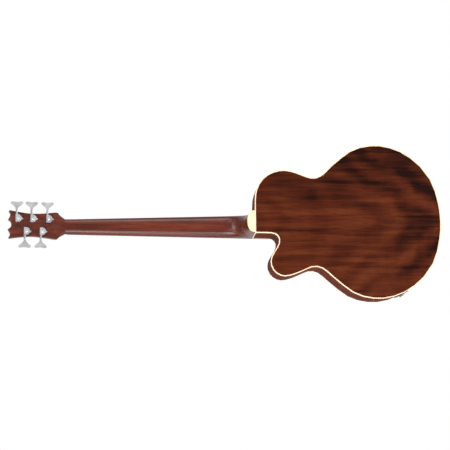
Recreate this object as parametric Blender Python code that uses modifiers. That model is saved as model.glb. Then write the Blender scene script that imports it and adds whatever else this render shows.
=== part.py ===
"""Acoustic-electric five-string bass guitar, modelled piece by piece.

Design axes, in millimetres: X towards the treble (cutaway) side, Z towards
the head, Y towards the back.  Z = 0 is the joint of neck and body, Y = 0 the
outer face of the soundboard.  Plan outlines are drawn as seen from the front,
x to the right and y up, with "height" h standing out of the front.
The instrument hangs by its headstock, so the world origin sits between the
two shoulders under the head, where a hanger's yoke carries it.
"""
import math

import bmesh
import bpy
from mathutils import Matrix, Vector

# ---------------------------------------------------------------- dimensions
MM = 0.001
SCALE_LENGTH = 863.6            # nut to saddle, 34 inches
JOINT_FRET = 16                 # fret at which the neck meets the body
FRET_COUNT = 22
NUT_Z = SCALE_LENGTH * (1.0 - 2.0 ** (-JOINT_FRET / 12.0))
BODY_DEPTH = 108.0
PLATE = 3.0                     # soundboard and back thickness
RIB = 2.5                       # side thickness
BIND_W, BIND_H = 2.4, 6.0       # edge binding: width across, depth down the side
GAP = 0.3                       # clearance kept between neighbouring pieces
OUTLINE_STEPS = 1               # points per span of the body outline

HEAD_TILT = math.radians(13.0)  # headstock leans back
HEAD_FRONT = 1.26               # wood's front face above the tilt plane
HEAD_WOOD = 14.0
VENEER = 1.8
HEAD_BACK = HEAD_FRONT - HEAD_WOOD
VENEER_TOP = HEAD_FRONT + GAP + VENEER

NUT_HALF, JOINT_HALF = 21.4, 32.7   # half widths of the fingerboard
BOARD_T = 6.0
BOARD_RADIUS = 406.0
HEEL_CAP_T = 2.7
HEEL_LENGTH = 21.0

HOLE_C, HOLE_R = -166.0, 46.0   # sound hole
ROSETTE_IN, ROSETTE_OUT = 50.0, 58.0
SADDLE_Z = NUT_Z - SCALE_LENGTH
SADDLE_PITCH = 17.0
NUT_X = (-17.4, -8.5, 0.1, 8.8, 17.5)
SADDLE_TOP = 12.8
STRING_R = (1.65, 1.33, 1.08, 0.83, 0.57)

POST_X = (-18.6, -16.2, -16.2, 18.2, 17.8)      # tuner posts, off the centre line
HOUSING_X = (-17.6, -17.2, -16.6, 18.6, 17.8)   # gear housings over them
WORM_OFFSET = 7.5               # worm axis beyond the post, towards the tip
WORM_H = -18.2                  # worm axis height in the head's frame
POST_S = (50.0, 93.8, 134.5, 111.0, 67.3)   # B, E, A on the bass side, D, G treble
POST_SIDE = (-1, -1, -1, 1, 1)
WINDING_TURNS = (1.2, 1.5, 1.6, 1.8, 2.0)
POST_R = 3.7
FLANGE_TOP = VENEER_TOP + GAP + 0.95        # front of the tuner bushings
WHEEL_TEETH = 20

HANG_Y, HANG_Z = 8.0, 532.0     # yoke centre, the world origin

# ------------------------------------------------------------------ outlines
UPPER_BASS = [(-50, 0), (-62, -0.4), (-75, -1.4), (-90, -5.2), (-104.5, -12),
              (-117.5, -21.5), (-129.5, -35.5), (-137.5, -52), (-142, -69),
              (-142.8, -84.5), (-140, -101), (-134, -120), (-126.5, -139),
              (-121.6, -155), (-121.5, -169), (-127, -182.5), (-138, -196)]
LOWER_BOUT = [(155.5, -213), (177.5, -239), (197, -266), (208.5, -294),
              (213.5, -323), (213.7, -350), (208, -379.5), (197, -408),
              (179.5, -436), (155.5, -463), (119, -489.5), (84, -503.3),
              (50, -510.8), (24, -514.3)]
TAIL = (0, -515.2)
UPPER_TREBLE = [(140, -196), (130.5, -183), (126.3, -169), (127, -155),
                (132, -141.5), (139, -126), (145.5, -110), (150.5, -94),
                (152.2, -80), (150, -68), (144, -57), (134.5, -48),
                (122, -42.5), (110, -41.5), (97, -44.5), (84, -52),
                (72, -60), (60, -65), (49.5, -65.5), (41, -61.5),
                (35.8, -54.5), (33.5, -45)]
CORNER = (32.5, 0)

# half outline of the headstock: half width, distance beyond the nut
HEAD_FLARE = [(21.6, 3), (22.2, 6), (23.9, 10), (26.3, 14.5), (29.4, 19.5),
              (33.2, 24.4), (37.3, 28.4)]
HEAD_SIDE = [(37.3, 36), (35.2, 52), (33.2, 70), (31.9, 87), (31.7, 102),
             (32.8, 118), (34.9, 133), (37.4, 150)]
HEAD_TIP = [(39, 158.5), (38.4, 161.6), (36, 161.9), (32, 159), (28, 157.6),
            (23.5, 158.6), (18, 161.8), (13.6, 164), (12, 161.5),
            (9, 158), (4.8, 155.3), (0, 154.4)]


def curve_through(points, steps, before, after):
    """Points along a centripetal Catmull-Rom curve through the given ones."""
    pts = [Vector(before)] + [Vector(p) for p in points] + [Vector(after)]
    out = []
    for i in range(1, len(pts) - 2):
        p0, p1, p2, p3 = pts[i - 1:i + 3]
        t0 = 0.0
        t1 = t0 + max((p1 - p0).length, 1e-6) ** 0.5
        t2 = t1 + (p2 - p1).length ** 0.5
        t3 = t2 + max((p3 - p2).length, 1e-6) ** 0.5
        for k in range(steps):
            t = t1 + (t2 - t1) * k / steps
            a1 = p0 * ((t1 - t) / (t1 - t0)) + p1 * ((t - t0) / (t1 - t0))
            a2 = p1 * ((t2 - t) / (t2 - t1)) + p2 * ((t - t1) / (t2 - t1))
            a3 = p2 * ((t3 - t) / (t3 - t2)) + p3 * ((t - t2) / (t3 - t2))
            b1 = a1 * ((t2 - t) / (t2 - t0)) + a2 * ((t - t0) / (t2 - t0))
            b2 = a2 * ((t3 - t) / (t3 - t1)) + a3 * ((t - t1) / (t3 - t1))
            out.append(b1 * ((t2 - t) / (t2 - t1)) + b2 * ((t - t1) / (t2 - t1)))
    out.append(pts[-2].copy())
    return out


def body_outline(steps):
    """Closed outline, anticlockwise from the treble corner of the neck joint."""
    ring = (UPPER_BASS + [(-w, z) for w, z in LOWER_BOUT] + [TAIL]
            + [(w, z) for w, z in reversed(LOWER_BOUT)] + UPPER_TREBLE)
    curve = curve_through(ring, steps, (-41, 0), (32.8, -30))
    return ([Vector(CORNER), Vector((-16, 0)), Vector((-41.3, 0))] + curve
            + [Vector((32.8, -30)), Vector((32.5, -BIND_W - GAP))])


def inset(ring, d):
    """The closed ring moved inwards by d, with mitred corners."""
    out = []
    n = len(ring)
    for i in range(n):
        a, b, c = ring[i - 1], ring[i], ring[(i + 1) % n]
        e1, e2 = (b - a).normalized(), (c - b).normalized()
        n1, n2 = Vector((e1.y, -e1.x)), Vector((e2.y, -e2.x))
        out.append(b - (n1 + n2) * (d / (1.0 + n1.dot(n2))))
    return out


OUTLINE = body_outline(OUTLINE_STEPS)
I_JOINT, I_LINING = 1, 2
I_TAIL = 3 + (len(UPPER_BASS) + len(LOWER_BOUT)) * OUTLINE_STEPS
I_BLOCK = len(OUTLINE) - 3      # where the treble lining stops under the neck
I_END = len(OUTLINE) - 1        # just short of the corner strip


def strip(first, last, d0, d1, shift=(0.0, 0.0)):
    """Plan of a band that follows the outline between two of its points."""
    a = [v.copy() for v in inset(OUTLINE, d0)[first:last + 1]]
    b = [v.copy() for v in inset(OUTLINE, d1)[first:last + 1]]
    for row in (a, b):
        row[0].x += shift[0]
        row[-1].x += shift[1]
    return a + b[::-1]


def side_place(side, z):
    """Point, outward normal and tangent of the body's side at height z."""
    fine = body_outline(24)
    best = None
    for a, b in zip(fine, fine[1:]):
        mid = (a + b) / 2
        if mid.x * side > 60 and (a.y - z) * (b.y - z) <= 0:
            e = (b - a).normalized()
            best = (a.lerp(b, (z - a.y) / (b.y - a.y)), Vector((e.y, -e.x)), e)
            break
    return best


def side_band(side, z0, z1, d0, d1):
    """Plan of a plate that lies on the body's side between two heights."""
    pts = [side_place(side, z0 + (z1 - z0) * i / 6.0) for i in range(7)]
    return [p + n * d0 for p, n, _ in pts] + [p + n * d1 for p, n, _ in pts][::-1]


def half_width(z):
    """Half width of the fingerboard at a distance z from the neck joint."""
    return JOINT_HALF + (NUT_HALF - JOINT_HALF) * z / NUT_Z


def without_straights(loop):
    """The closed outline without points that lie on a straight run."""
    keep = []
    n = len(loop)
    for i in range(n):
        a, b, c = Vector(loop[i - 1]), Vector(loop[i]), Vector(loop[(i + 1) % n])
        if abs((b - a).normalized().cross((c - b).normalized())) > 1e-4:
            keep.append(b)
    return keep


def circle(cx, cy, r, n, phase=0.0):
    return [Vector((cx + r * math.cos(2 * math.pi * (i + phase) / n),
                    cy + r * math.sin(2 * math.pi * (i + phase) / n)))
            for i in range(n)]


def rectangle(x0, x1, y0, y1):
    return [Vector((x0, y0)), Vector((x1, y0)), Vector((x1, y1)), Vector((x0, y1))]


# --------------------------------------------------------------- scene set-up
for old in list(bpy.data.objects):
    bpy.data.objects.remove(old, do_unlink=True)

parts = bpy.data.collections.new("bass_guitar")
cutters = bpy.data.collections.new("cutters")
bpy.context.scene.collection.children.link(parts)
bpy.context.scene.collection.children.link(cutters)

FINISHES = {
    "mahogany": ((0.105, 0.032, 0.016), 0.42, 0.0),
    "neck_wood": ((0.150, 0.050, 0.028), 0.38, 0.0),
    "spruce": ((0.620, 0.390, 0.180), 0.40, 0.0),
    "rosewood": ((0.045, 0.020, 0.012), 0.55, 0.0),
    "inner_wood": ((0.480, 0.330, 0.190), 0.75, 0.0),
    "cream": ((0.830, 0.660, 0.460), 0.35, 0.0),
    "bone": ((0.850, 0.800, 0.680), 0.35, 0.0),
    "nickel": ((0.620, 0.610, 0.620), 0.28, 1.0),
    "bronze": ((0.560, 0.380, 0.220), 0.35, 1.0),
    "steel": ((0.400, 0.400, 0.420), 0.40, 1.0),
    "black_plastic": ((0.015, 0.015, 0.016), 0.40, 0.0),
    "inlay": ((0.300, 0.320, 0.290), 0.30, 0.0),
    "battery": ((0.120, 0.125, 0.130), 0.35, 0.4),
}


def finish(obj, kind):
    colour, rough, metal = FINISHES[kind]
    mat = bpy.data.materials.new(obj.name)
    mat.use_nodes = True
    shader = mat.node_tree.nodes["Principled BSDF"]
    shader.inputs["Base Color"].default_value = (*colour, 1.0)
    shader.inputs["Roughness"].default_value = rough
    shader.inputs["Metallic"].default_value = metal
    mat.diffuse_color = (*colour, 1.0)
    obj.data.materials.append(mat)


def empty(name, location, rotation=(0, 0, 0), parent=None):
    obj = bpy.data.objects.new(name, None)
    obj.location = Vector(location) * MM
    obj.rotation_euler = rotation
    obj.parent = parent
    parts.objects.link(obj)
    return obj


instrument = empty("instrument", (0, -HANG_Y, -HANG_Z))
body = empty("body_frame", (0, 0, 0), (math.radians(90), 0, 0), instrument)
head = empty("head_frame", (0, 0, NUT_Z),
             (math.radians(90) - HEAD_TILT, 0, 0), instrument)


def place(obj, frame, kind):
    """Put an object in a frame, as a finished part or, without a finish, a cutter."""
    obj.parent = frame
    if kind:
        parts.objects.link(obj)
        finish(obj, kind)
    else:
        cutters.objects.link(obj)
        obj.hide_render = True
        obj.display_type = "WIRE"
    return obj


def plate(name, frame, loops, h0, h1, kind=None, at=(0, 0), turn=None):
    """A flat piece: closed outlines, filled and given a thickness."""
    data = bpy.data.curves.new(name, "CURVE")
    data.dimensions = "2D"
    data.fill_mode = "BOTH"
    data.extrude = abs(h1 - h0) / 2 * MM
    for loop in map(without_straights, loops):
        spline = data.splines.new("POLY")
        spline.points.add(len(loop) - 1)
        for point, v in zip(spline.points, loop):
            point.co = ((v[0] - at[0]) * MM, (v[1] - at[1]) * MM, 0.0, 1.0)
        spline.use_cyclic_u = True
    obj = bpy.data.objects.new(name, data)
    obj.location = Vector((at[0], at[1], (h0 + h1) / 2)) * MM
    if turn:
        obj.rotation_euler = turn
    return place(obj, frame, kind)


def solid(obj):
    """Turn a curve piece into a welded mesh, so that it can be cut or joined."""
    bpy.context.view_layer.update()
    graph = bpy.context.evaluated_depsgraph_get()
    mesh = bpy.data.meshes.new_from_object(obj.evaluated_get(graph))
    bm = bmesh.new()
    bm.from_mesh(mesh)
    bmesh.ops.remove_doubles(bm, verts=bm.verts, dist=1e-6)
    bm.to_mesh(mesh)
    bm.free()
    name, where, parent = obj.name, obj.matrix_world.copy(), obj.parent
    home = obj.users_collection[0]
    hidden = obj.hide_render
    bpy.data.objects.remove(obj, do_unlink=True)
    mesh.name = name
    new = bpy.data.objects.new(name, mesh)
    home.objects.link(new)
    new.parent = parent
    new.matrix_world = where
    new.hide_render = hidden
    if hidden:
        new.display_type = "WIRE"
    return new


def block(name, frame, low, high, kind=None):
    """A rectangular block between two corners of a frame (x, y, h)."""
    low, high = Vector(low), Vector(high)
    bm = bmesh.new()
    bmesh.ops.create_cube(bm, size=1.0)
    size = high - low
    bmesh.ops.scale(bm, vec=size * MM, verts=bm.verts)
    mesh = bpy.data.meshes.new(name)
    bm.to_mesh(mesh)
    bm.free()
    obj = bpy.data.objects.new(name, mesh)
    obj.location = (low + high) / 2 * MM
    return place(obj, frame, kind)


def blocks(name, frame, pairs):
    """Several blocks that stand apart, used together as one cutter."""
    bm = bmesh.new()
    for low, high in pairs:
        low, high = Vector(low), Vector(high)
        made = bmesh.ops.create_cube(bm, size=1.0)["verts"]
        bmesh.ops.scale(bm, vec=(high - low) * MM, verts=made)
        bmesh.ops.translate(bm, vec=(low + high) / 2 * MM, verts=made)
    mesh = bpy.data.meshes.new(name)
    bm.to_mesh(mesh)
    bm.free()
    return place(bpy.data.objects.new(name, mesh), frame, None)


def rod(name, frame, centre, axis, radius, length, sides, kind=None):
    """A cylinder about an axis, centred on a point of the frame."""
    bm = bmesh.new()
    bmesh.ops.create_cone(bm, cap_ends=True, segments=sides, radius1=radius * MM,
                          radius2=radius * MM, depth=length * MM)
    mesh = bpy.data.meshes.new(name)
    bm.to_mesh(mesh)
    bm.free()
    obj = bpy.data.objects.new(name, mesh)
    obj.location = Vector(centre) * MM
    obj.rotation_euler = Vector((0, 0, 1)).rotation_difference(
        Vector(axis)).to_euler()
    return place(obj, frame, kind)


def turned(name, frame, origin, axis, profile, sides, kind=None):
    """A lathe-turned piece: (radius, height) down its outer side, top to bottom."""
    mesh = bpy.data.meshes.new(name)
    verts = [(r * MM, 0.0, z * MM) for r, z in profile]
    mesh.from_pydata(verts, [(i, i + 1) for i in range(len(verts) - 1)], [])
    obj = bpy.data.objects.new(name, mesh)
    obj.location = Vector(origin) * MM
    obj.rotation_euler = Vector((0, 0, 1)).rotation_difference(
        Vector(axis)).to_euler()
    place(obj, frame, kind)
    screw = obj.modifiers.new("turn", "SCREW")
    screw.steps = screw.render_steps = sides
    screw.use_merge_vertices = True
    screw.merge_threshold = 0.00001
    return obj


def loft(name, frame, sections, kind=None):
    """A skin over unlike sections, all with the same number of points."""
    bm = bmesh.new()
    rows = [[bm.verts.new(Vector(p) * MM) for p in row] for row in sections]
    n = len(rows[0])
    for a, b in zip(rows, rows[1:]):
        for i in range(n):
            bm.faces.new((a[i], a[(i + 1) % n], b[(i + 1) % n], b[i]))
    bm.faces.new(rows[0])
    bm.faces.new(rows[-1][::-1])
    bmesh.ops.recalc_face_normals(bm, faces=bm.faces)
    mesh = bpy.data.meshes.new(name)
    bm.to_mesh(mesh)
    bm.free()
    return place(bpy.data.objects.new(name, mesh), frame, kind)


def boolean(obj, tool, operation):
    mod = obj.modifiers.new(tool.name, "BOOLEAN")
    mod.operation = operation
    mod.solver = "EXACT"
    mod.object = tool


def cut(obj, *tools):
    for tool in tools:
        boolean(obj, tool, "DIFFERENCE")


def fuse(obj, *tools):
    for tool in tools:
        boolean(obj, tool, "UNION")


# ----------------------------------------------------------------- body shell
plate_ring = inset(OUTLINE, BIND_W + GAP)
soundboard = solid(plate("soundboard", body,
                         [plate_ring, circle(0, HOLE_C, HOLE_R, 28)],
                         -PLATE, 0.0, "spruce"))
cut(soundboard, solid(plate("rosette_channel", body,
                            [circle(0, HOLE_C, ROSETTE_OUT + GAP, 28),
                             circle(0, HOLE_C, ROSETTE_IN - GAP, 28)], -1.5, 2.0)))
plate("rosette", body, [circle(0, HOLE_C, ROSETTE_OUT, 28),
                        circle(0, HOLE_C, ROSETTE_IN, 28)], -1.2, 0.0, "inlay")
plate("back_plate", body, [plate_ring], -BODY_DEPTH, -BODY_DEPTH + PLATE, "mahogany")

bind_ring = inset(OUTLINE, BIND_W)
plate("top_binding", body, [OUTLINE, bind_ring], -BIND_H, 0.0, "cream")
plate("back_binding", body, [OUTLINE, bind_ring], -BODY_DEPTH, -BODY_DEPTH + BIND_H,
      "cream")
side_h = (-BODY_DEPTH + BIND_H + GAP, -BIND_H - GAP)
plate("corner_binding", body,
      [rectangle(CORNER[0] - BIND_W, CORNER[0], -BIND_W, 0.0)], *side_h, "cream")

rib_bass = solid(plate("rib_bass", body, [strip(I_JOINT, I_TAIL, 0, RIB, (0, -0.2))],
                       *side_h, "mahogany"))
rib_treble = solid(plate("rib_treble", body,
                         [strip(I_TAIL, I_END, 0, RIB, (0.2, 0))],
                         *side_h, "mahogany"))

lining = strip(I_LINING, I_BLOCK, RIB + GAP, RIB + GAP + 6.0)
plate("top_lining", body, [lining], -PLATE - GAP - 12, -PLATE - GAP, "inner_wood")
plate("back_lining", body, [lining], -BODY_DEPTH + PLATE + GAP,
      -BODY_DEPTH + PLATE + GAP + 12, "inner_wood")

inside = (-BODY_DEPTH + PLATE + GAP, -PLATE - GAP)
neck_block = block("neck_block", body, (-40.7, -44.7, inside[0]),
                   (29.4, -2.8, inside[1]), "inner_wood")
cut(neck_block, block("mortise", body, (-14.3, -26.3, -98.6), (14.3, 0.0, -7.4)))
tail_block = block("tail_block", body, (-32, -510.3, -92.4), (32, -486, -15.6),
                   "inner_wood")

# ------------------------------------------------------------------- bracing
BRACE_TOP = -PLATE - GAP
cross_z = -238.0
for name, hand in (("x_brace_bass", -1), ("x_brace_treble", 1)):
    d = Vector((hand, 1)).normalized()
    s = Vector((-d.y, d.x)) * 3.5
    c = Vector((0, cross_z))
    a, b = c - d * 228, c + d * 148
    bar = solid(plate(name, body, [[a - s, b - s, b + s, a + s]],
                      BRACE_TOP - 16, BRACE_TOP, "inner_wood"))
    h0, h1 = ((BRACE_TOP - 20, BRACE_TOP - 7.85) if hand < 0
              else (BRACE_TOP - 8.15, BRACE_TOP + 2))
    e = Vector((-hand, 1)).normalized() * 3.8
    f = Vector((-e.y, e.x)).normalized() * 12
    cut(bar, solid(plate(name + "_lap", body,
                         [[c - e - f, c + e - f, c + e + f, c - e + f]], h0, h1)))
block("upper_brace", body, (-124, -101, BRACE_TOP - 16), (130, -91, BRACE_TOP),
      "inner_wood")
block("bridge_plate", body, (-75, -366, BRACE_TOP - 3), (75, -324, BRACE_TOP),
      "inner_wood")
for name, z, x0, x1 in (("back_brace_upper", -85, -129, 138),
                        ("back_brace_lower", -330, -199, 199)):
    block(name, body, (x0, z - 5, inside[0]), (x1, z + 5, inside[0] + 14),
          "inner_wood")

# ---------------------------------------------------------------------- neck
BOARD_LOW = GAP                 # underside of the fingerboard, h in the body frame
BOARD_TOP = GAP + BOARD_T


def d_section(centre, half, tip, lift, segments=12, fullness=2.35):
    """Half of a superellipse hung below a chord, from treble to bass edge."""
    rows = []
    for i in range(segments + 1):
        a = math.pi * i / segments
        c, s = math.cos(a), math.sin(a)
        x = half * math.copysign(abs(c) ** (2 / fullness), c)
        k = abs(s) ** (2 / fullness)
        p = Vector(centre).lerp(Vector(tip), k)
        rows.append((x + lift, p.x, p.y))
    return rows


def head_to_body(s, h):
    """A point of the head's mid plane, as (y, h) of the body's frame."""
    y = s * math.sin(HEAD_TILT) - h * math.cos(HEAD_TILT)
    z = NUT_Z + s * math.cos(HEAD_TILT) + h * math.sin(HEAD_TILT)
    return (z, -y)


neck_sections = []
# heel: chord at Z = 0.3, dropping from the cap up to the neck's own sections
for c_y, c_z, half, m_y, m_z in (
        (105, 0, 29.6, 105, 21.0), (84, 0, 30.1, 97, 21.3), (60, 0, 30.8, 88, 22.2),
        (36, 0, 31.5, 77, 23.8), (15, 0, 32.1, 66, 26.5), (0, 0, 32.5, 55, 30.5),
        (0, 9, 32.5, 46, 35.5), (0, 21, 32.2, 37.5, 41.5), (0, 35, 31.9, 30.2, 49.5),
        (0, 50, 31.6, 25.0, 59.0), (0, 66, 31.3, 21.8, 70.0), (0, 82, 30.9, 19.8, 83.0),
        (0, 98, 30.6, 18.9, 98.0), (0, 175, 28.9, 17.8, 175), (0, 260, 27.1, 17.0, 260),
        (0, 344, 25.3, 16.4, 344), (0, 428, 23.4, 15.9, 428), (0, 500, 21.9, 15.4, 500)):
    neck_sections.append(d_section((max(c_z, GAP), -c_y), half, (m_z, -m_y), 0.0))
# flare: the section follows the head's tilt and turns from round to square
for s, half, back, full in ((6.0, 21.5, -14.6, 2.6), (10, 23.9, -13.9, 3.4),
                            (14.5, 26.3, -13.2, 4.5), (19.5, 29.4, -12.85, 7),
                            (24.4, 33.2, -12.8, 12), (28.0, 36.8, -12.78, 24)):
    neck_sections.append(d_section(head_to_body(s, HEAD_FRONT - 0.05), half,
                                   head_to_body(s, back), 0.0, fullness=full))
neck = loft("neck", body, neck_sections, "neck_wood")


def mirrored(half):
    """A full outline from its treble half, which ends on the centre line."""
    return ([Vector(p) for p in half]
            + [Vector((-x, y)) for x, y in reversed(half[:-1])])


head_plan = mirrored([(32.9, 24.4), (37.3, 28.4)] + HEAD_SIDE + HEAD_TIP)
fuse(neck, solid(plate("head_plate", head, [head_plan], HEAD_BACK, HEAD_FRONT)))
fuse(neck, block("tenon", body, (-14, -26, -98.2), (14, 3, -7.8)))
channel = block("rod_channel", body, (-3.4, 11, -9.6), (3.4, 508, 4))
pocket = block("rod_pocket", body, (-5.2, 506, -9.65), (5.2, 545, 6))
cut(neck, channel, pocket)
post_holes = []
for i, (s, x) in enumerate(zip(POST_S, POST_X)):
    hole = rod("post_hole_%d" % (i + 1), head, (x, s, -5), (0, 0, 1), 6.0, 40, 12)
    post_holes.append(hole)
cut(neck, *post_holes)

cap = [Vector((x, y)) for x, y, _ in d_section((GAP, 0), 29.6, (HEEL_LENGTH, 0), 0.0,
                                               segments=16)]
plate("heel_cap", body, [cap], -BODY_DEPTH, -BODY_DEPTH + HEEL_CAP_T, "cream")

veneer_plan = mirrored([(21.9, 6.6), (23.9, 10), (26.3, 14.5), (29.4, 19.5),
                        (33.2, 24.4), (37.3, 28.4)] + HEAD_SIDE + HEAD_TIP)
veneer = solid(plate("headstock_veneer", head, [veneer_plan], HEAD_FRONT + GAP,
                     VENEER_TOP, "rosewood"))
cut(veneer, *post_holes)
cut(veneer, block("veneer_pocket", head, (-5.3, 0, 0), (5.3, 26, 8)))
cover_plan = mirrored([(6, 8.2), (12, 8.9), (12.3, 14), (10.8, 21), (8.2, 29),
                       (5.4, 36), (2.6, 40), (0, 41.2)])
plate("truss_rod_cover", head, [cover_plan], VENEER_TOP + GAP, VENEER_TOP + GAP + 2.0,
      "black_plastic")

block("truss_rod", body, (-3.0, 12, -8.9), (3.0, 505, -0.6), "steel")
turned("truss_rod_nut", body, (0, 506, -5.2), (0, 1, 0),
       [(0, 24), (2.2, 24), (2.2, 30), (3.4, 30), (3.9, 29.4), (3.9, 13),
        (2.4, 12), (2.4, 1), (0, 1)], 12, "steel")


# --------------------------------------------------------------- fingerboard
def board_sag(x):
    return x * x / (2 * BOARD_RADIUS)


def board_section(z):
    w = half_width(z)
    top = [(w - 2 * w * i / 4, z, BOARD_TOP - board_sag(w - 2 * w * i / 4))
           for i in range(5)]
    return [(-w, z, BOARD_LOW), (w, z, BOARD_LOW)] + top


board_end = -107.0
fingerboard = loft("fingerboard", body, [board_section(board_end),
                                         board_section(NUT_Z)], "rosewood")
fret_z = [NUT_Z - SCALE_LENGTH * (1 - 2 ** (-n / 12)) for n in range(1, FRET_COUNT + 1)]
TANG_LOW = BOARD_LOW + 3.7
cut(fingerboard, blocks("fret_slots", body,
                        [((-45, z - 0.55, TANG_LOW - GAP), (45, z + 0.55, 12))
                         for z in fret_z]))
cut(fingerboard, block("spine_groove", body, (-1.4, fret_z[-1] - 0.9, -3),
                       (1.4, fret_z[0] + 0.9, TANG_LOW + 0.7)))


def fret_section(x, z):
    low = BOARD_TOP + GAP - board_sag(x)
    return [(x, z - 1.3, low), (x, z - 0.7, low + 1.05), (x, z + 0.7, low + 1.05),
            (x, z + 1.3, low), (x, z + 0.25, low), (x, z + 0.25, TANG_LOW),
            (x, z - 0.25, TANG_LOW), (x, z - 0.25, low)]


frets = block("frets", body, (-1.0, fret_z[-1] - 0.6, TANG_LOW - 1.5),
              (1.0, fret_z[0] + 0.6, TANG_LOW + 0.4), "nickel")
for n, z in enumerate(fret_z):
    w = half_width(z) - 0.4
    fuse(frets, loft("fret_%d" % (n + 1), body,
                     [fret_section(x, z) for x in (-w, -w / 2.4, w / 2.4, w)]))

# -------------------------------------------------- nut, bridge and saddle
string_x = NUT_X
nut_floor = BOARD_TOP + GAP + 1.05 + 0.6     # a little above the fret crowns
nut_profile = [(NUT_Z + 0.3, 0.0), (NUT_Z + 5.1, 0.0), (NUT_Z + 5.1, 7.6),
               (NUT_Z + 3.8, 9.0), (NUT_Z + 0.3, 9.3)]
nut = loft("nut", body, [[(x, y, h) for y, h in nut_profile] for x in (-21.3, 21.3)],
           "bone")
cut(nut, blocks("nut_slots", body,
                [((x - r - GAP, NUT_Z - 2, nut_floor), (x + r + GAP, NUT_Z + 8, 14))
                 for x, r in zip(string_x, STRING_R)]))

bridge_half = [(0, -333.5), (24, -333.8), (42, -334.5), (56, -336.5), (70, -341),
               (80, -345.5), (83.5, -350), (80, -355.5), (66, -361), (48, -368),
               (26, -374), (0, -376)]
bridge_plan = ([Vector(p) for p in bridge_half]
               + [Vector((-x, y)) for x, y in bridge_half[-2:0:-1]])
bridge = solid(plate("bridge", body, [bridge_plan], GAP, GAP + 9.0, "rosewood"))
saddle_x = [(i - 2) * SADDLE_PITCH for i in range(5)]
cut(bridge,
    block("saddle_slot", body, (-43.5, SADDLE_Z - 1.9, 3.4), (43.5, SADDLE_Z + 1.9, 12)),
    block("string_trench", body, (-41, -360.0, 3.0), (41, -348.0, 12)))
cut(bridge, *[rod("string_hole_%d" % (i + 1), body, (x, -366, 6.0), (0, 1, 0),
                  2.3, 24, 10) for i, x in enumerate(saddle_x)])
block("piezo_strip", body, (-41.5, SADDLE_Z - 1.3, 3.7), (41.5, SADDLE_Z + 1.3, 4.9),
      "steel")
saddle_profile = [(SADDLE_Z - 1.6, 5.2), (SADDLE_Z + 1.6, 5.2), (SADDLE_Z + 1.6, 11.9),
                  (SADDLE_Z + 0.7, SADDLE_TOP), (SADDLE_Z - 0.7, SADDLE_TOP),
                  (SADDLE_Z - 1.6, 11.9)]
loft("saddle", body, [[(x, y, h) for y, h in saddle_profile] for x in (-42.5, 42.5)],
     "bone")

# -------------------------------------------------------------------- tuners
HOUSING_PLAN = [(-10.0, 10.7), (10.4, 10.7), (11.0, 10.1), (11.0, 3.5), (9.3, -1.0),
                (6.0, -4.4), (2.6, -6.4), (-2.6, -6.4), (-6.2, -4.6), (-9.2, -1.4),
                (-10.6, 3.0), (-10.6, 10.1)]
EAR_PLAN = [(3.2, -5.0), (2.5, -7.5), (1.7, -10.0), (0.0, -10.9), (-1.7, -10.0),
            (-2.5, -7.5), (-3.2, -5.0)]
KEY_HALF = [(20.0, 2.3), (26.0, 2.9), (30.0, 4.6), (33.5, 8.0), (36.8, 12.2),
            (39.8, 15.6), (42.4, 17.2), (45.0, 16.3), (46.7, 13.2), (46.6, 9.4),
            (45.6, 4.6), (45.2, 0.0)]
wheel_plan = [Vector(((5.3 if i % 2 else 4.4) * math.cos(math.pi * i / WHEEL_TEETH),
                      (5.3 if i % 2 else 4.4) * math.sin(math.pi * i / WHEEL_TEETH)))
              for i in range(2 * WHEEL_TEETH)]

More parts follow.
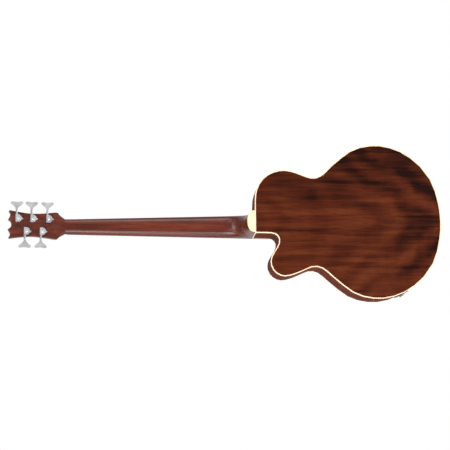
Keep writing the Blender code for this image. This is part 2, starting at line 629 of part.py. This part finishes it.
for i, (s, side) in enumerate(zip(POST_S, POST_SIDE)):
    n = i + 1
    x0, px = HOUSING_X[i], POST_X[i]
    base_h = HEAD_BACK - GAP

    def at(points):
        return [Vector((x0 + side * v, s + u)) for v, u in points]

    ear = HOUSING_PLAN[:6] + [(2.9, -6.3)] + EAR_PLAN[1:-1] + [(-2.9, -6.3)] \
        + HOUSING_PLAN[8:]
    housing = solid(plate("tuner_housing_%d" % n, head, [at(ear)], base_h - 2.0, base_h,
                          "nickel", at=(x0, s)))
    grow = [(v * 0.965, 3.0 + (u - 3.0) * 0.965) for v, u in HOUSING_PLAN]
    fuse(housing, solid(plate("gear_cover_%d" % n, head, [at(grow)],
                              base_h - 10.4, base_h - 0.9, at=(x0, s))))
    fuse(housing, turned("bushing_%d" % n, head, (px, s, 0), (0, 0, 1),
                         [(0, FLANGE_TOP), (7.9, FLANGE_TOP),
                          (8.4, FLANGE_TOP - 0.45), (8.4, VENEER_TOP + GAP),
                          (5.4, VENEER_TOP + GAP), (5.4, base_h - 1.0),
                          (0, base_h - 1.0)], 12))
    cut(housing,
        rod("wheel_room_%d" % n, head, (px, s, WORM_H), (0, 0, 1), 6.0, 6.2, 12),
        block("worm_room_%d" % n, head,
              (x0 - 8.3, s + WORM_OFFSET - 2.6, WORM_H - 2.6),
              (x0 + 8.3, s + WORM_OFFSET + 2.45, WORM_H + 2.55)),
        rod("shaft_bore_%d" % n, head, (x0 + side * 10, s + WORM_OFFSET, WORM_H),
            (side, 0, 0), 2.5, 5, 10),
        rod("post_bore_%d" % n, head, (px, s, -4), (0, 0, 1), POST_R + 0.3, 24, 12))

    worm = []
    for k in range(4):
        worm += [(1.35, 4.8 - 3.0 * k), (2.05, 3.3 - 3.0 * k)]
    key = turned("tuner_key_%d" % n, head, (x0, s + WORM_OFFSET, WORM_H), (side, 0, 0),
                 [(0, 26.0), (3.0, 24.5), (3.1, 11.3), (1.95, 11.3), (1.95, 6.2)]
                 + worm + [(0, -7.4)], 10, "nickel")
    outline = ([(v, u) for v, u in KEY_HALF]
               + [(v, -u) for v, u in reversed(KEY_HALF[:-1])])
    fuse(key, solid(plate("key_blade_%d" % n, head,
                          [[Vector((x0 + side * v, s + WORM_OFFSET + u))
                            for v, u in outline]], WORM_H - 2.1, WORM_H + 2.1,
                          at=(x0, s + WORM_OFFSET))))

    post = turned("tuner_post_%d" % n, head, (px, s, 0), (0, 0, 1),
                  [(0, 17.0), (6.5, 16.6), (6.5, 15.0), (POST_R, 13.8),
                   (POST_R, WORM_H + 1.5), (0, WORM_H + 1.5)],
                  10, "nickel")
    wheel = solid(plate("worm_wheel_%d" % n, head, [[Vector((px, s)) + p
                                                     for p in wheel_plan]],
                        WORM_H - 2.7, WORM_H + 2.7, at=(px, s)))
    fuse(post, wheel)
    cut(post, block("post_slot_%d" % n, head, (px - 1.7, s - 9, 13.2),
                    (px + 1.7, s + 9, 20)))

# ------------------------------------------------------------------- strings


def head_point(x, s, h):
    z, down = head_to_body(s, h)
    return Vector((x, -down, z))


def string_path(i):
    """Centre line of string i, from its ball end to the end of its winding."""
    r = STRING_R[i]
    low_h = SADDLE_TOP + GAP + r
    pts = [(Vector((saddle_x[i], -6.0, -381.0)), 3.1 / r),
           (Vector((saddle_x[i], -6.0, -377.2)), 3.1 / r),
           (Vector((saddle_x[i], -6.0, -376.9)), 1.0),
           (Vector((saddle_x[i], -6.0, -360.2)), 1.0),
           (Vector((saddle_x[i], -6.0 - r * 0.3, -358.4)), 1.0),
           (Vector((saddle_x[i], -low_h, SADDLE_Z - 1.2)), 1.0),
           (Vector((saddle_x[i], -low_h, SADDLE_Z + 0.6)), 1.0)]
    nut_h = nut_floor + GAP + r
    pts += [(Vector((string_x[i], -nut_h, NUT_Z + 0.5)), 1.0),
            (Vector((string_x[i], -nut_h, NUT_Z + 3.5)), 1.0)]
    side, s = POST_SIDE[i], POST_S[i]
    ring = POST_R + GAP + r
    centre = Vector((POST_X[i], s))
    start = Vector((string_x[i], 5.0))
    away = start - centre
    base = math.atan2(away.y, away.x)
    swing = math.acos(ring / away.length)
    first = base + swing if side < 0 else base - swing
    turns = WINDING_TURNS[i]
    count = int(round(turns * 11))
    pitch = (2 * r + 0.08) / 11
    h0 = FLANGE_TOP + GAP + r + pitch * count
    for k in range(count + 1):
        a = first - side * 2 * math.pi * k / 11
        drop = pitch * k
        pts.append((head_point(centre.x + ring * math.cos(a),
                               centre.y + ring * math.sin(a), h0 - drop), 1.0))
    return pts


for i in range(5):
    pts = string_path(i)
    data = bpy.data.curves.new("string_%d" % (i + 1), "CURVE")
    data.dimensions = "3D"
    data.bevel_depth = STRING_R[i] * MM
    data.bevel_resolution = 1
    data.use_fill_caps = True
    spline = data.splines.new("POLY")
    spline.points.add(len(pts) - 1)
    for point, (p, radius) in zip(spline.points, pts):
        point.co = (*(p * MM), 1.0)
        point.radius = radius
    place(bpy.data.objects.new("string_%d" % (i + 1), data), instrument, "bronze")

# --------------------------------------------------------------- electronics
BAY_Y = (-49.6, -30.4)          # battery bay, h in the body frame
BAY_Z = (-109.4, -59.6)
case_h = (-79.0, -29.0)
flange = solid(plate("preamp_case", body, [side_band(-1, -116, -53, 0.3, 2.0)],
                     -83.0, -25.0, "black_plastic"))
fuse(flange, block("case_box", body, (-136.5, -110.9, case_h[0]),
                   (-108, -58.1, case_h[1])))
fuse(flange, solid(plate("case_front", body,
                         [side_band(-1, -110.9, -58.1, -8.0, 1.0)], *case_h)))
cut(flange, block("battery_bay", body, (-180, BAY_Z[0], BAY_Y[0]),
                  (-110.5, BAY_Z[1], BAY_Y[1])))
cut(rib_bass, block("preamp_window", body, (-170, -111.3, case_h[0] - GAP),
                    (-100, -57.7, case_h[1] + GAP)))
block("battery", body, (-137.6, -109.0, -49.2), (-111.1, -60.5, -31.7), "battery")
door = solid(plate("battery_door", body, [side_band(-1, -108.3, -60.9, 0.6, 2.2)],
                   BAY_Y[0] + 0.4, BAY_Y[1] - 0.4, "black_plastic"))


def on_side(side, z, out, h):
    """A point standing off the body's side, and that side's outward normal."""
    p, n, _ = side_place(side, z)
    q = p + n * out
    return Vector((q.x, q.y, h)), Vector((n.x, n.y, 0.0))


def side_frame(name, side, z, h):
    """An empty on the side: local z outward, local x towards the tail."""
    p, n = on_side(side, z, 0.0, h)
    frame = empty(name, p, parent=body)
    x = Vector((n.y, -n.x, 0.0)) * (-side)
    frame.rotation_euler = Matrix((x, n.cross(x), n)).transposed().to_euler()
    return frame


knob_at = side_frame("volume_axis", -1, -69, -65)
cut(flange, rod("knob_bore", knob_at, (0, 0, 0), (0, 0, 1), 3.4, 14, 12))
turned("volume_knob", knob_at, (0, 0, 0), (0, 0, 1),
       [(0, 6.9), (5.8, 6.9), (6.7, 6.2), (7.2, 3.2), (6.9, 2.6), (3.0, 2.6),
        (3.0, -5.5), (0, -5.5)], 16, "black_plastic")
for name, h in (("bass_slider", -58), ("treble_slider", -72)):
    track = side_frame(name + "_track", -1, -90, h)
    cut(flange, block(name + "_slot", track, (-8.5, -1.5, -6.5), (8.5, 1.5, 6)))
    knob = block(name, track, (-2.2, -0.9, -5.6), (2.2, 0.9, 3.4), "black_plastic")
    fuse(knob, block(name + "_cap", track, (-3.0, -3.2, 2.9), (3.0, 3.2, 6.6)))
button_at = side_frame("button_axis", -1, -106, -65)
cut(flange, rod("button_bore", button_at, (0, 0, 0), (0, 0, 1), 3.4, 14, 12))
turned("phase_button", button_at, (0, 0, 0), (0, 0, 1),
       [(0, 4.6), (2.5, 4.6), (3.0, 4.1), (3.0, -4.0), (0, -4.0)], 12, "black_plastic")

JACK_Z, JACK_H = -408, -54
jack_plate = solid(plate("jack_plate", body, [side_band(1, -424, -392, 0.3, 2.3)],
                         JACK_H - 16, JACK_H + 16, "black_plastic"))
jack_at = side_frame("jack_axis", 1, JACK_Z, JACK_H)
cut(jack_plate, rod("jack_plate_hole", jack_at, (0, 0, 0), (0, 0, 1), 6.5, 16, 16))
cut(rib_treble, rod("jack_rib_hole", jack_at, (0, 0, 0), (0, 0, 1), 7.2, 16, 16))
turned("output_jack", jack_at, (0, 0, 0), (0, 0, 1),
       [(0, -22), (3.3, -22), (3.3, 6.6), (5.6, 6.6), (5.9, 6.2), (5.9, 5.0),
        (8.3, 5.0), (8.3, 2.8), (5.9, 2.8), (5.9, -4.4), (8.6, -4.4), (8.6, -26),
        (0, -26)], 16, "nickel")

strap_button = turned("strap_button", body, (0, TAIL[1], -BODY_DEPTH / 2), (0, -1, 0),
                      [(0, 12.4), (6.6, 12.4), (7.6, 11.6), (7.6, 9.9), (4.6, 8.0),
                       (4.4, 4.0), (6.6, 1.2), (6.9, GAP), (2.1, GAP), (2.1, -22),
                       (0, -23)], 16, "nickel")
screw_hole = rod("strap_screw_hole", body, (0, TAIL[1] + 12, -BODY_DEPTH / 2),
                 (0, 1, 0), 2.6, 29, 12)
cut(rib_bass, screw_hole)
cut(rib_treble, screw_hole)
cut(tail_block, screw_hole)

for obj in parts.objects:
    if obj.type == "MESH":
        obj.data.set_sharp_from_angle(angle=math.radians(32))
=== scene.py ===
import bpy
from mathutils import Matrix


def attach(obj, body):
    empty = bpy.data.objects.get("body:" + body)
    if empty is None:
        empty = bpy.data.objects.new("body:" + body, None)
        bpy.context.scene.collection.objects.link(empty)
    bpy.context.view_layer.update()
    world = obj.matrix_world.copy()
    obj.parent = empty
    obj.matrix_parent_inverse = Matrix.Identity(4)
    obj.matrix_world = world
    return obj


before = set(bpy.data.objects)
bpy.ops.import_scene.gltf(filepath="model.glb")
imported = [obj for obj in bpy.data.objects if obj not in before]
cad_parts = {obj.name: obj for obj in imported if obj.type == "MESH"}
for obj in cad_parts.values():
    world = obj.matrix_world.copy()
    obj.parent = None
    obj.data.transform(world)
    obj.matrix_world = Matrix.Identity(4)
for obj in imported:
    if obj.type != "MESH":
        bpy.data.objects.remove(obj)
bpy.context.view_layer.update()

import bpy, math
from mathutils import Matrix, Vector


def new_material(name):
    """An empty node material with its shader, and a helper to add nodes."""
    mat = bpy.data.materials.new(name)
    mat.use_nodes = True
    tree = mat.node_tree
    shader = tree.nodes["Principled BSDF"]

    def add(kind, inputs=None, **props):
        node = tree.nodes.new(kind)
        for key, value in props.items():
            setattr(node, key, value)
        for key, value in (inputs or {}).items():
            if isinstance(value, bpy.types.NodeSocket):
                tree.links.new(value, node.inputs[key])
            else:
                node.inputs[key].default_value = value
        return node

    return mat, tree, shader, add


def srgb(r, g, b):
    """sRGB 0 to 255 as a linear colour."""
    def lin(c):
        c /= 255.0
        return c / 12.92 if c <= 0.04045 else ((c + 0.055) / 1.055) ** 2.4
    return (lin(r), lin(g), lin(b), 1.0)


def ramp(add, factor, stops):
    node = add("ShaderNodeValToRGB", {"Fac": factor})
    els = node.color_ramp.elements
    while len(els) < len(stops):
        els.new(0.5)
    for el, (at, colour) in zip(els, stops):
        el.position = at
        el.color = colour
    return node


def wood(name, dark, mid, light, rough=0.36, stretch=(38.0, 38.0, 2.2), flame=0.0, coat=0.04, spec=0.12):
    """Long grain along Z with pores; with flame, waves mirrored about X = 0, plus painted shade that darkens the bass
    edge and the tail (at the tail partly the wood's own darker figure).
    """
    mat, tree, shader, add = new_material(name)
    coord = add("ShaderNodeTexCoord").outputs["Object"]
    grain_at = add("ShaderNodeMapping", {"Vector": coord, "Scale": stretch}).outputs["Vector"]
    grain = add("ShaderNodeTexNoise", {"Vector": grain_at, "Scale": 1.6, "Detail": 9.0, "Roughness": 0.62, "Distortion": 0.35}).outputs["Fac"]
    pore_at = add("ShaderNodeMapping", {"Vector": coord, "Scale": (900.0, 900.0, 34.0)}).outputs["Vector"]
    pores = add("ShaderNodeTexNoise", {"Vector": pore_at, "Scale": 1.0, "Detail": 3.0}).outputs["Fac"]
    value = grain
    if flame:
        parts = add("ShaderNodeSeparateXYZ", {"Vector": coord})
        mirror = add("ShaderNodeMath", {0: parts.outputs["X"]}, operation="ABSOLUTE").outputs[0]
        folded = add("ShaderNodeCombineXYZ", {"X": mirror, "Y": parts.outputs["Y"], "Z": parts.outputs["Z"]}).outputs[0]
        flame_at = add("ShaderNodeMapping", {"Vector": folded, "Rotation": (0.0, -0.62, 0.0)}).outputs["Vector"]
        arcs = add("ShaderNodeTexWave", {"Vector": flame_at, "Scale": 4.2, "Distortion": 7.5, "Detail": 3.0, "Detail Scale": 1.3, "Phase Offset": 1.2}, bands_direction="X").outputs["Fac"]
        sway = add("ShaderNodeTexNoise", {"Vector": flame_at, "Scale": 13.0, "Detail": 5.0, "Distortion": 1.4}).outputs["Fac"]
        waves = add("ShaderNodeMath", {0: arcs, 1: 0.5}, operation="MULTIPLY").outputs[0]
        sway = add("ShaderNodeMath", {0: sway, 1: 0.5}, operation="MULTIPLY").outputs[0]
        waves = add("ShaderNodeMath", {0: waves, 1: sway}, operation="ADD").outputs[0]
        low = add("ShaderNodeMapRange", {"Value": parts.outputs["Z"], "From Min": -0.72, "From Max": -1.06, "To Min": 0.25, "To Max": 1.0}).outputs[0]
        # Painted shade: the back darkens towards its bass edge (X below -0.04 m), standing for the arched plate turning
        # from the light; the middle stays a touch lighter.
        edge = add("ShaderNodeMapRange", {"Value": parts.outputs["X"], "From Min": -0.04, "From Max": -0.20, "To Min": -0.03, "To Max": 0.2}).outputs[0]
        swing = add("ShaderNodeMath", {0: waves, 1: -0.5}, operation="ADD").outputs[0]
        swing = add("ShaderNodeMath", {0: swing, 1: low}, operation="MULTIPLY").outputs[0]
        swing = add("ShaderNodeMath", {0: swing, 1: flame}, operation="MULTIPLY").outputs[0]
        value = add("ShaderNodeMath", {0: grain, 1: swing}, operation="ADD").outputs[0]
        # Painted shade, partly the wood's own darker figure: the back darkens towards the tail, where the arched plate
        # turns from the light.
        tail = add("ShaderNodeMapRange", {"Value": parts.outputs["Z"], "From Min": -0.86, "From Max": -1.06, "To Min": 0.0, "To Max": 0.16}).outputs[0]
        value = add("ShaderNodeMath", {0: value, 1: edge}, operation="SUBTRACT").outputs[0]
        value = add("ShaderNodeMath", {0: value, 1: tail}, operation="SUBTRACT").outputs[0]
    colour = ramp(add, value, [(0.26, dark), (0.5, mid), (0.74, light)]).outputs["Color"]
    pore_dark = ramp(add, pores, [(0.36, (0.55, 0.5, 0.48, 1)), (0.48, (1, 1, 1, 1))]).outputs["Color"]
    mix = add("ShaderNodeMix", {"Factor": 0.75}, data_type="RGBA", blend_type="MULTIPLY")
    tree.links.new(colour, mix.inputs[6])
    tree.links.new(pore_dark, mix.inputs[7])
    tree.links.new(mix.outputs[2], shader.inputs["Base Color"])
    r = add("ShaderNodeMapRange", {"Value": grain, "To Min": rough - 0.07, "To Max": rough + 0.1}).outputs[0]
    tree.links.new(r, shader.inputs["Roughness"])
    bump = add("ShaderNodeBump", {"Height": pores, "Strength": 0.12, "Distance": 0.0003}).outputs["Normal"]
    tree.links.new(bump, shader.inputs["Normal"])
    shader.inputs["Coat Weight"].default_value = coat
    shader.inputs["Coat Roughness"].default_value = 0.22
    shader.inputs["Specular IOR Level"].default_value = spec
    return mat


def solid(name, low, high, rough, metallic=0.0, scale=160.0, bump=0.08, stretch=(1.0, 1.0, 1.0), coat=0.0):
    """Plastic, bone or metal: mottled colour, uneven gloss, fine bump."""
    mat, tree, shader, add = new_material(name)
    coord = add("ShaderNodeTexCoord").outputs["Object"]
    at = add("ShaderNodeMapping", {"Vector": coord, "Scale": stretch}).outputs["Vector"]
    broad = add("ShaderNodeTexNoise", {"Vector": at, "Scale": scale * 0.2, "Detail": 4.0}).outputs["Fac"]
    fine = add("ShaderNodeTexNoise", {"Vector": at, "Scale": scale * 6.0, "Detail": 5.0}).outputs["Fac"]
    colour = ramp(add, broad, [(0.3, low), (0.7, high)]).outputs["Color"]
    tree.links.new(colour, shader.inputs["Base Color"])
    r = add("ShaderNodeMapRange", {"Value": fine, "From Min": 0.3, "From Max": 0.7, "To Min": rough - 0.05, "To Max": rough + 0.09}).outputs[0]
    tree.links.new(r, shader.inputs["Roughness"])
    tree.links.new(add("ShaderNodeBump", {"Height": fine, "Strength": bump, "Distance": 0.0002}).outputs["Normal"], shader.inputs["Normal"])
    shader.inputs["Metallic"].default_value = metallic
    shader.inputs["Coat Weight"].default_value = coat
    return mat


def shell_inlay():
    """Pearly ring: cells with a slow shift of hue."""
    mat, tree, shader, add = new_material("shell_inlay")
    coord = add("ShaderNodeTexCoord").outputs["Object"]
    cells = add("ShaderNodeTexVoronoi", {"Vector": coord, "Scale": 220.0}).outputs["Color"]
    drift = add("ShaderNodeTexNoise", {"Vector": coord, "Scale": 90.0, "Detail": 5.0, "Distortion": 1.2}).outputs["Fac"]
    base = ramp(add, drift, [(0.3, srgb(70, 120, 120)), (0.5, srgb(200, 200, 188)), (0.7, srgb(120, 96, 132))]).outputs["Color"]
    mix = add("ShaderNodeMix", {"Factor": 0.16}, data_type="RGBA")
    tree.links.new(base, mix.inputs[6])
    tree.links.new(cells, mix.inputs[7])
    tree.links.new(mix.outputs[2], shader.inputs["Base Color"])
    tree.links.new(add("ShaderNodeMapRange", {"Value": drift, "To Min": 0.12, "To Max": 0.3}).outputs[0], shader.inputs["Roughness"])
    shader.inputs["Coat Weight"].default_value = 0.6
    return mat


def wound_string():
    """Round-wound bronze: tight turns along Z shown as bump, with painted shade as dark bands in the grooves between
    turns.
    """
    mat, tree, shader, add = new_material("wound_string")
    coord = add("ShaderNodeTexCoord").outputs["Object"]
    turns = add("ShaderNodeTexWave", {"Vector": coord, "Scale": 260.0, "Distortion": 0.2}, bands_direction="Z").outputs["Fac"]
    # Painted shade: the colour ramp darkens the grooves between turns against the bronze crowns.
    tree.links.new(ramp(add, turns, [(0.1, srgb(110, 78, 48)), (0.8, srgb(214, 178, 130))]).outputs["Color"], shader.inputs["Base Color"])
    tree.links.new(add("ShaderNodeMapRange", {"Value": turns, "To Min": 0.42, "To Max": 0.26}).outputs[0], shader.inputs["Roughness"])
    tree.links.new(add("ShaderNodeBump", {"Height": turns, "Strength": 0.3, "Distance": 0.0002}).outputs["Normal"], shader.inputs["Normal"])
    shader.inputs["Metallic"].default_value = 1.0
    return mat


MATS = {
    "mahogany_back": wood("mahogany_back", srgb(28, 7, 3), srgb(68, 26, 11), srgb(90, 42, 20), flame=0.6, rough=0.42, spec=0.06, coat=0.0),
    "mahogany_side": wood("mahogany_side", srgb(48, 17, 9), srgb(80, 33, 19), srgb(104, 49, 30), rough=0.62, spec=0.02, coat=0.0),
    "neck_wood": wood("neck_satin", srgb(36, 9, 3), srgb(76, 26, 11), srgb(104, 42, 22), rough=0.34, coat=0.1, spec=0.28),
    "spruce": wood("spruce_top", srgb(196, 148, 92), srgb(222, 180, 124), srgb(236, 203, 152), rough=0.3, stretch=(150.0, 150.0, 1.6)),
    "rosewood": wood("rosewood", srgb(28, 15, 11), srgb(56, 32, 24), srgb(86, 54, 40), rough=0.44, coat=0.0),
    "inner_wood": wood("inner_wood", srgb(168, 128, 88), srgb(200, 164, 120), srgb(220, 190, 150), rough=0.62, coat=0.0),
    "cream": solid("cream_binding", srgb(226, 190, 150), srgb(238, 207, 172), 0.22, coat=0.4, bump=0.03),
    "bone": solid("bone", srgb(222, 212, 188), srgb(242, 235, 216), 0.32, stretch=(1.0, 1.0, 0.25)),
    "nickel": solid("satin_nickel", srgb(178, 177, 181), srgb(226, 225, 228), 0.2, metallic=1.0, bump=0.03),
    "steel": solid("plain_steel", srgb(140, 140, 146), srgb(178, 178, 182), 0.34, metallic=1.0, stretch=(1.0, 1.0, 0.1)),
    "black_plastic": solid("black_plastic", srgb(17, 17, 19), srgb(33, 33, 35), 0.44, bump=0.2),
    "battery": solid("battery_sleeve", srgb(62, 64, 67), srgb(96, 98, 102), 0.34, metallic=0.4),
    "inlay": shell_inlay(),
    "bronze": wound_string(),
}
KIND = {
    "mahogany_back": ["back_plate"],
    "mahogany_side": ["rib_bass", "rib_treble"],
    "neck_wood": ["neck"],
    "spruce": ["soundboard"],
    "rosewood": ["fingerboard", "bridge", "headstock_veneer"],
    "inner_wood": ["top_lining", "back_lining", "neck_block", "tail_block", "x_brace_bass", "x_brace_treble",
                   "upper_brace", "bridge_plate", "back_brace_upper", "back_brace_lower"],
    "cream": ["top_binding", "back_binding", "corner_binding", "heel_cap"],
    "bone": ["nut", "saddle"],
    "nickel": ["frets", "output_jack", "strap_button"] + ["tuner_%s_%d" % (k, i) for k in ("housing", "key", "post") for i in range(1, 6)],
    "steel": ["truss_rod", "truss_rod_nut", "piezo_strip"],
    "black_plastic": ["preamp_case", "battery_door", "volume_knob", "bass_slider", "treble_slider", "phase_button",
                      "jack_plate", "truss_rod_cover"],
    "battery": ["battery"],
    "inlay": ["rosette"],
    "bronze": ["string_%d" % i for i in range(1, 6)],
}
for key, nodes in KIND.items():
    for node in nodes:
        obj = bpy.data.objects[node]
        for slot in obj.material_slots:
            slot.material = MATS[key]

# Small trim that rides on the instrument
def lathe(name, profile, at, normal, mat, steps=20):
    """A turned piece: profile is (radius, height) pairs, closed at both ends."""
    verts = []
    for radius, height in profile:
        for k in range(steps):
            a = 2 * math.pi * k / steps
            verts.append((radius * math.cos(a) / 1000, radius * math.sin(a) / 1000, height / 1000))
    faces = [tuple(reversed(range(steps)))]
    for row in range(len(profile) - 1):
        for k in range(steps):
            a, b = row * steps + k, row * steps + (k + 1) % steps
            faces.append((a, b, b + steps, a + steps))
    last = (len(profile) - 1) * steps
    faces.append(tuple(range(last, last + steps)))
    mesh = bpy.data.meshes.new(name)
    mesh.from_pydata(verts, [], faces)
    obj = bpy.data.objects.new(name, mesh)
    bpy.context.scene.collection.objects.link(obj)
    mesh.materials.append(mat)
    obj.matrix_world = Matrix.Translation(at) @ normal.to_track_quat("Z", "Y").to_matrix().to_4x4()
    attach(obj, "instrument")
    return obj


def cast(node, start, direction):
    """Where a ray from start first meets that node, and the way it faces."""
    obj = bpy.data.objects[node]
    inv = obj.matrix_world.inverted()
    a = inv @ Vector(start)
    d = (inv.to_3x3() @ Vector(direction)).normalized()
    hit, point, normal, _ = obj.ray_cast(a, d)
    if not hit:
        return None
    return obj.matrix_world @ point, (obj.matrix_world.to_3x3() @ normal).normalized()


SIN, COS = math.sin(math.radians(13)), math.cos(math.radians(13))


def head_point(x, s, h):
    return Vector((x, s * SIN - h * COS - 8.0, -11.12 + s * COS + h * SIN)) / 1000


SCREW = [(1.75, -0.5), (1.75, 0.25), (1.45, 0.62), (0.85, 0.8), (0.55, 0.8), (0.3, 0.3)]
BOSS = [(3.6, -0.2), (3.6, 0.3), (3.3, 0.5), (2.7, 0.5), (2.4, 0.35)]
bpy.context.view_layer.update()
for n, (x, s) in enumerate(zip((-17.6, -17.2, -16.6, 18.6, 17.8), (50.0, 93.8, 134.5, 111.0, 67.3)), 1):
    for label, along, profile in (("screw", -8.2, SCREW), ("boss", 3.0, BOSS)):
        found = cast("tuner_housing_%d" % n, head_point(x, s + along, -70.0), (0.0, -COS, SIN))
        if found:
            lathe("tuner_%s_%d" % (label, n), profile, found[0], found[1], MATS["nickel"])

edge = [bpy.data.objects["fingerboard"].matrix_world @ v.co for v in bpy.data.objects["fingerboard"].data.vertices]
board_y = (min(v.y for v in edge) + max(v.y for v in edge)) / 2


def fret_z(k):
    return -0.01112 - 0.8636 * (1 - 2 ** (-k / 12))


for fret in (3, 5, 7, 9, 12, 15, 17, 19):
    z = (fret_z(fret) + fret_z(fret - 1)) / 2
    for j, x in enumerate((-0.011, 0.011) if fret == 12 else (0.0,)):
        found = cast("fingerboard", (x, -0.2, z), (0.0, 1.0, 0.0))
        if found:
            lathe("dot_%d_%d" % (fret, j), [(3.0, -0.4), (3.0, 0.05), (2.85, 0.1)], found[0], found[1], MATS["inlay"])
        found = cast("fingerboard", (-0.2, board_y, z + x * 0.3), (1.0, 0.0, 0.0))
        if found:
            lathe("side_dot_%d_%d" % (fret, j), [(1.0, -0.4), (1.0, 0.05), (0.9, 0.1)], found[0], found[1], MATS["cream"])

# Floor, world and lights
floor_mat, tree, shader, add = new_material("pale_floor")
coord = add("ShaderNodeTexCoord").outputs["Object"]
spots = add("ShaderNodeTexNoise", {"Vector": coord, "Scale": 6.0, "Detail": 4.0}).outputs["Fac"]
tree.links.new(ramp(add, spots, [(0.3, (0.955, 0.955, 0.955, 1)), (0.7, (0.985, 0.985, 0.985, 1))]).outputs["Color"], shader.inputs["Base Color"])
shader.inputs["Roughness"].default_value = 0.9
bpy.ops.mesh.primitive_plane_add(size=8.0, location=(0.0, 2.4, -1.75))
floor = bpy.context.active_object
floor.name = "studio_floor"
floor.data.materials.append(floor_mat)

world = bpy.data.worlds.new("studio")
world.use_nodes = True
background = world.node_tree.nodes["Background"]
nodes = world.node_tree.nodes
links = world.node_tree.links
aim = nodes.new("ShaderNodeTexCoord")
parts = nodes.new("ShaderNodeSeparateXYZ")
links.new(aim.outputs["Generated"], parts.inputs[0])
room = nodes.new("ShaderNodeValToRGB")
sweep = nodes.new("ShaderNodeMapRange")
sweep.inputs["From Min"].default_value = -1.0
sweep.inputs["From Max"].default_value = 1.0
links.new(parts.outputs["Y"], sweep.inputs["Value"])
links.new(sweep.outputs[0], room.inputs["Fac"])
room.color_ramp.elements[0].position = 0.10
room.color_ramp.elements[0].color = (1.0, 1.0, 1.0, 1.0)
room.color_ramp.elements[1].position = 0.42
room.color_ramp.elements[1].color = (0.36, 0.36, 0.365, 1.0)
links.new(room.outputs["Color"], background.inputs["Color"])
background.inputs["Strength"].default_value = 1.0
bpy.context.scene.world = world


def area(name, place, target, size, watts):
    light = bpy.data.lights.new(name, "AREA")
    light.shape = "RECTANGLE"
    light.size, light.size_y = size
    light.energy = watts
    obj = bpy.data.objects.new(name, light)
    bpy.context.scene.collection.objects.link(obj)
    obj.location = place
    obj.rotation_euler = (Vector(target) - Vector(place)).to_track_quat("-Z", "Y").to_euler()


area("key_treble", (2.2, 1.6, 0.2), (0.0, 0.05, -0.5), (1.1, 2.6), 112.0)
area("fill_bass", (-2.4, 1.5, -0.2), (0.0, 0.05, -0.5), (1.0, 2.6), 50.0)
area("top_soft", (0.0, 1.6, 1.8), (0.0, 0.0, -0.4), (1.6, 1.0), 40.0)

area("card", (-0.55, 3.4, -0.98), (0.0, 0.0, 0.1), (0.9, 0.75), 1.1)

# Camera, fitted to the photograph
base = Matrix(((0, 0, -1), (-1, 0, 0), (0, 1, 0)))
turn = Vector((-9.20979666, 3.18368994, 0.17902791))
rot = Matrix.Rotation(math.radians(turn.length), 3, turn.normalized()) @ base
cam_data = bpy.data.cameras.new("camera")
cam_data.sensor_width = 36.0
cam_data.lens = 92.3525
cam_data.clip_end = 100.0
cam = bpy.data.objects.new("camera", cam_data)
bpy.context.scene.collection.objects.link(cam)
cam.matrix_world = Matrix.Translation((0.51569385, 3.20888772, -0.27405981)) @ rot.transposed().to_4x4()
bpy.context.scene.camera = cam
bpy.context.scene.view_settings.view_transform = "Standard"

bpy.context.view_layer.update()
